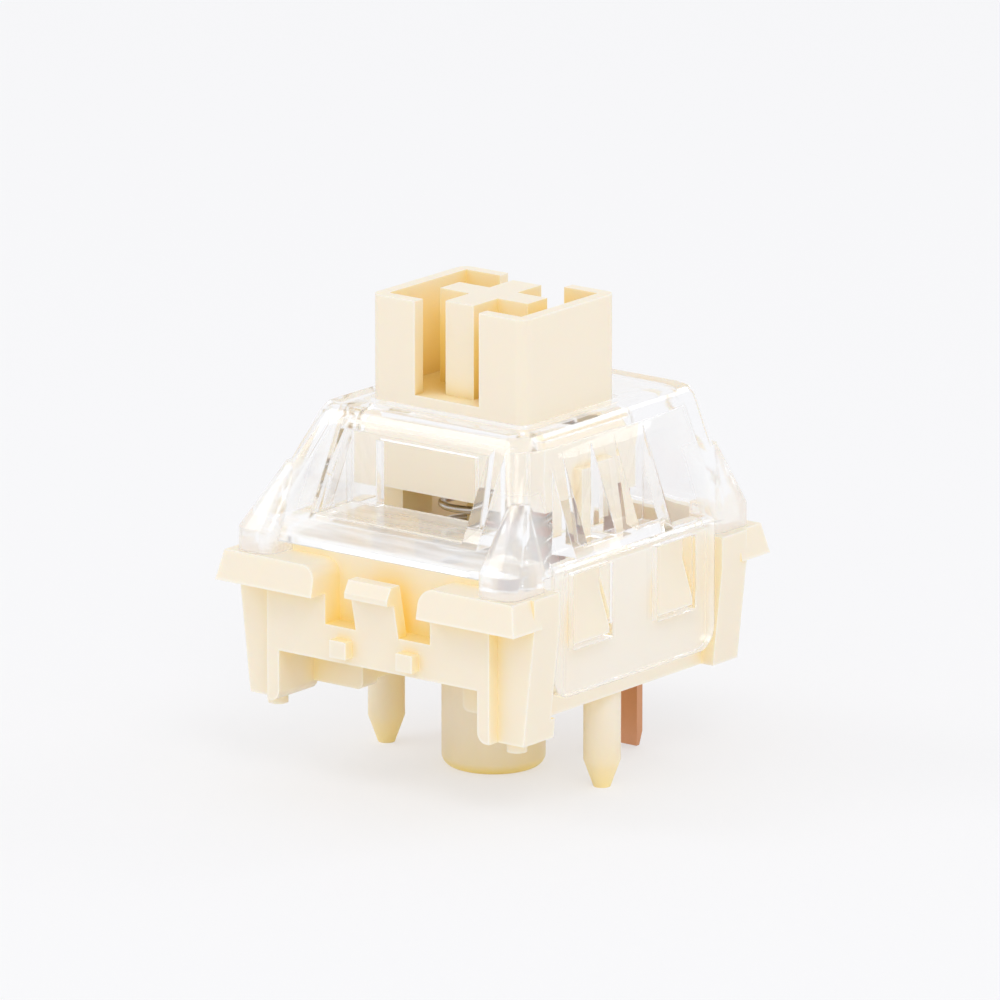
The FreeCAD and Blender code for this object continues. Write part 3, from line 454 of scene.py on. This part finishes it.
def looked_at(layout):
    """1 for rays that show the background: from the camera, off a gloss or through clear plastic."""
    path = layout.add("ShaderNodeLightPath")
    seen = Value(layout, path.outputs["Is Camera Ray"])
    for kind in ("Is Glossy Ray", "Is Transmission Ray"):
        seen = seen.most(Value(layout, path.outputs[kind]))
    return seen


def floor_finish(settings):
    """A pale matt floor on which the shadow looks lighter than it is."""
    finish = Finish("studio_floor")
    tone = finish.noise(0.01, 2.0)
    colour = finish.blend(tone * 0.1, rgba(settings.floor), rgba([0.985 * part for part in settings.floor]))
    matt = finish.add("ShaderNodeBsdfPrincipled", {}, {
        "Base Color": colour, "Roughness": 0.85, "Specular IOR Level": 0.2})
    pale = finish.add("ShaderNodeEmission", {}, {"Color": colour, "Strength": 1.0})
    shown = finish.add("ShaderNodeMixShader", {}, {
        0: looked_at(finish) * (1 - settings.shadow), 1: matt.outputs[0], 2: pale.outputs[0]})
    return finish.surface(shown.outputs[0])


def paint(piece, material):
    piece.data.materials.clear()
    piece.data.materials.append(material)


def join_facets(piece, sharpest=math.radians(28)):
    """Welds the node's loose triangles, keeps its sharp edges and smooths its curved faces."""
    shaping = Shaping("Join facets", {"Sharpest angle": "NodeSocketFloat"})
    weld = shaping.add("GeometryNodeMergeByDistance", {}, {
        "Geometry": shaping.given.outputs["Geometry"], "Distance": 0.0005 * MM})
    smooth = shaping.add("GeometryNodeSetShadeSmooth", {}, {"Geometry": weld.outputs[0]})
    angle = shaping.add("GeometryNodeInputMeshEdgeAngle")
    sharp = shaping.add("FunctionNodeCompare", {"data_type": "FLOAT", "operation": "GREATER_THAN"},
                        {"A": angle.outputs["Unsigned Angle"], "B": shaping.number("Sharpest angle")})
    crease = shaping.add("GeometryNodeSetShadeSmooth", {"domain": "EDGE"}, {
        "Geometry": smooth.outputs[0], "Selection": sharp.outputs[0], "Shade Smooth": False})
    shaping.finish(crease.outputs[0])
    shaping.put_on(piece, {"Sharpest angle": sharpest})
    even = piece.modifiers.new("Even shading", "WEIGHTED_NORMAL")
    even.mode = "FACE_AREA"
    even.weight = 100
    even.keep_sharp = True


def coil_shaping(material):
    """A compression spring with closed ends, wound from numbers."""
    shaping = Shaping("Wind spring", {
        "Radius": "NodeSocketFloat", "Bottom": "NodeSocketFloat", "Top": "NodeSocketFloat",
        "Open turns": "NodeSocketFloat", "Closed turns": "NodeSocketFloat",
        "Wire": "NodeSocketFloat", "Steps": "NodeSocketInt"})
    radius, wire, steps = [shaping.number(name) for name in ("Radius", "Wire", "Steps")]
    turns, closed = shaping.number("Open turns"), shaping.number("Closed turns")
    low, high = shaping.number("Bottom") + wire / 2, shaping.number("Top") - wire / 2
    line = shaping.add("GeometryNodeMeshLine", {}, {"Count": steps})
    index = Value(shaping, shaping.add("GeometryNodeInputIndex").outputs[0])
    turned = index / (steps - 1) * (turns + closed * 2)
    pitch = (high - low - closed * wire * 2) / turns
    opened = (turned - closed).most(0).least(turns)
    height = low + wire * (turned - opened) + pitch * opened
    angle = turned * math.tau
    place = shaping.add("ShaderNodeCombineXYZ", {}, {
        "X": radius * angle.math("COSINE", angle), "Y": radius * angle.math("SINE", angle),
        "Z": height})
    wound = shaping.add("GeometryNodeSetPosition", {}, {
        "Geometry": line.outputs[0], "Position": place.outputs[0]})
    path = shaping.add("GeometryNodeMeshToCurve", {}, {"Mesh": wound.outputs[0]})
    section = shaping.add("GeometryNodeCurvePrimitiveCircle", {}, {
        "Resolution": 12, "Radius": wire / 2})
    body = shaping.add("GeometryNodeCurveToMesh", {}, {
        "Curve": path.outputs[0], "Profile Curve": section.outputs["Curve"], "Fill Caps": True})
    real = shaping.add("GeometryNodeRealizeInstances", {}, {"Geometry": body.outputs[0]})
    coated = shaping.add("GeometryNodeSetMaterial", {}, {
        "Geometry": real.outputs[0], "Material": material})
    shaping.finish(coated.outputs[0])
    return shaping


def settle(shaping, name, settings):
    """A plain mesh object from a tree's result, with no modifier left on it."""
    mesh = bpy.data.meshes.new(name)
    draft = bpy.data.objects.new(name + "_draft", mesh)
    bpy.context.scene.collection.objects.link(draft)
    shaping.put_on(draft, settings)
    graph = bpy.context.evaluated_depsgraph_get()
    made = bpy.data.meshes.new_from_object(draft.evaluated_get(graph))
    bpy.data.objects.remove(draft)
    made.shade_smooth()
    piece = bpy.data.objects.new(name, made)
    bpy.context.scene.collection.objects.link(piece)
    return piece


class LowerHousingOperator(bpy.types.Operator):
    """Dress the lower housing in satin cream plastic."""

    bl_idname = "switch.lower_housing"
    bl_label = "Lower Housing"

    def execute(self, context):
        settings = context.scene.switch_moulding
        piece = frame["nodes"]["bottom_housing"]
        paint(piece, cream_plastic(settings, "housing_plastic", settings.edge))
        join_facets(piece)
        return {"FINISHED"}


class StemOperator(bpy.types.Operator):
    """Dress the stem in the same plastic."""

    bl_idname = "switch.stem"
    bl_label = "Stem"

    def execute(self, context):
        settings = context.scene.switch_moulding
        piece = frame["nodes"]["stem"]
        slot_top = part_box("stem")[1].z
        paint(piece, cream_plastic(settings, "stem_plastic", settings.stem_edge, slot_top))
        join_facets(piece)
        return {"FINISHED"}


class CoverOperator(bpy.types.Operator):
    """Dress the cover in clear plastic with polished, broken edges."""

    bl_idname = "switch.cover"
    bl_label = "Clear Cover"

    def execute(self, context):
        settings = context.scene.switch_cover
        piece = frame["nodes"]["top_housing"]
        paint(piece, clear_plastic(settings))
        join_facets(piece)
        piece.visible_shadow = False
        piece.visible_diffuse = False
        return {"FINISHED"}


class ContactsOperator(bpy.types.Operator):
    """Dress the contacts in copper and their bars in gold."""

    bl_idname = "switch.contacts"
    bl_label = "Contacts"

    def execute(self, context):
        settings = context.scene.switch_metal
        copper = metal("contact_metal", settings.copper, 0.28, 0.03 * MM, (1, 1, 0.1))
        gold = metal("contact_tip", settings.gold, 0.2)
        for name in ("fixed_contact", "leaf_terminal", "contact_leaf"):
            paint(frame["nodes"][name], copper)
            join_facets(frame["nodes"][name])
        for name in ("fixed_crosspoint", "moving_crosspoint"):
            paint(frame["nodes"][name], gold)
            join_facets(frame["nodes"][name])
        return {"FINISHED"}


class SpringOperator(bpy.types.Operator):
    """Wind the return spring with closed ends between its two seats."""

    bl_idname = "switch.spring"
    bl_label = "Return Spring"

    def execute(self, context):
        settings = context.scene.switch_metal
        steel = metal("spring_wire", settings.steel, 0.22)
        low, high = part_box("return_spring")
        spring = settle(coil_shaping(steel), "wound_spring", {
            "Radius": (high.x - low.x - settings.wire) / 2, "Bottom": low.z, "Top": high.z,
            "Open turns": settings.turns, "Closed turns": 1.0, "Wire": settings.wire,
            "Steps": 420})
        press = next(joint for joint in frame["joints"] if joint["name"] == "stem_press")
        travel = press["range_m"][1]
        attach(spring, "housing")
        1 - travel / (high.z - low.z)
        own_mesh(spring)
        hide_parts("return_spring")
        return {"FINISHED"}


class StageOperator(bpy.types.Operator):
    """Lay the floor, light it softly and aim the camera as in the photograph."""

    bl_idname = "switch.stage"
    bl_label = "Studio"

    def execute(self, context):
        scene = context.scene
        settings = scene.switch_studio
        scene.view_settings.view_transform = "Standard"
        half = 1.5
        mesh = bpy.data.meshes.new("studio_floor")
        mesh.from_pydata([(-half, -half, 0), (half, -half, 0), (half, half, 0), (-half, half, 0)],
                         [], [(0, 1, 2, 3)])
        floor = bpy.data.objects.new("studio_floor", mesh)
        scene.collection.objects.link(floor)
        paint(floor, floor_finish(settings))
        self.light(scene, settings)
        self.aim(scene, settings)
        return {"FINISHED"}

    def light(self, scene, settings):
        world = bpy.data.worlds.new("studio")
        scene.world = world
        world.use_nodes = True
        sky = Layout(world.node_tree)
        sky.tree.nodes.clear()
        lit = sky.add("ShaderNodeBackground", {}, {
            "Color": (0.98, 0.99, 1.0, 1), "Strength": settings.dome})
        seen = sky.add("ShaderNodeBackground", {}, {"Color": rgba(settings.floor), "Strength": 1.0})
        mix = sky.add("ShaderNodeMixShader", {}, {
            0: looked_at(sky), 1: lit.outputs[0], 2: seen.outputs[0]})
        sky.add("ShaderNodeOutputWorld", {}, {"Surface": mix.outputs[0]})
        for name, power, size, place in (
                ("key_box", settings.key, 0.17, (0.29, -0.20, 0.36)),
                ("side_box", settings.side, 0.17, (-0.29, -0.23, 0.34)),
                ("rear_box", settings.rear, 0.12, (0.20, 0.38, 0.26)),
                ("front_lamp", settings.front, 0.16, (0.12, -0.26, 0.10))):
            self.lamp(scene, name, power, size, Vector(place))

    def lamp(self, scene, name, power, size, place):
        data = bpy.data.lights.new(name, "AREA")
        data.energy = power
        data.size = size
        lamp = bpy.data.objects.new(name, data)
        aim = (Vector((0, 0, 0.008)) - place).to_track_quat("-Z", "Y")
        lamp.matrix_world = Matrix.Translation(place) @ aim.to_matrix().to_4x4()
        scene.collection.objects.link(lamp)

    def aim(self, scene, settings):
        """Place the camera that the photograph's edges fit, whose middle lies beside the switch's."""
        turn, lift = settings.azimuth, settings.elevation
        right = Vector((math.cos(turn), math.sin(turn), 0))
        back = Vector((math.sin(turn) * math.cos(lift), -math.cos(turn) * math.cos(lift),
                       math.sin(lift)))
        up = back.cross(right)
        middle = Vector((0, 0, 9 * MM))
        picture, middle_across, middle_down = 1000, 493.61, 529.82
        aside = (picture / 2 - middle_across) / settings.scale * MM
        above = (middle_down - picture / 2) / settings.scale * MM
        data = bpy.data.cameras.new("camera")
        data.sensor_width = 36
        data.lens = settings.scale * settings.distance / MM / picture * data.sensor_width
        data.clip_start, data.clip_end = 0.01, 10
        camera = bpy.data.objects.new("camera", data)
        turned = Matrix((right, up, back)).transposed().to_4x4()
        place = middle + right * aside + up * above + back * settings.distance
        camera.matrix_world = Matrix.Translation(place) @ turned
        scene.collection.objects.link(camera)
        scene.camera = camera


class SwitchPanel(bpy.types.Panel):
    """The switch's settings and its operators."""

    bl_idname = "VIEW3D_PT_key_switch"
    bl_label = "Key Switch"
    bl_space_type = "VIEW_3D"
    bl_region_type = "UI"
    bl_category = "Key Switch"

    def draw(self, context):
        for group in SETTINGS:
            settings = getattr(context.scene, group)
            for name in settings.__annotations__:
                self.layout.prop(settings, name)
        for operator in OPERATORS:
            self.layout.operator(operator.bl_idname)


SETTINGS = {"switch_moulding": MouldingSettings, "switch_cover": CoverSettings,
            "switch_metal": MetalSettings, "switch_studio": StudioSettings}
OPERATORS = (LowerHousingOperator, StemOperator, CoverOperator, ContactsOperator, SpringOperator,
             StageOperator)


def register():
    for group in (*SETTINGS.values(), *OPERATORS, SwitchPanel):
        bpy.utils.register_class(group)
    for name, group in SETTINGS.items():
        setattr(bpy.types.Scene, name, bpy.props.PointerProperty(type=group))


def unregister():
    for name in SETTINGS:
        delattr(bpy.types.Scene, name)
    for group in reversed((*SETTINGS.values(), *OPERATORS, SwitchPanel)):
        bpy.utils.unregister_class(group)


def main():
    register()
    bpy.ops.switch.lower_housing()
    bpy.ops.switch.stem()
    bpy.ops.switch.cover()
    bpy.ops.switch.contacts()
    bpy.ops.switch.spring()
    bpy.ops.switch.stage()


if __name__ == "__main__":
    main()
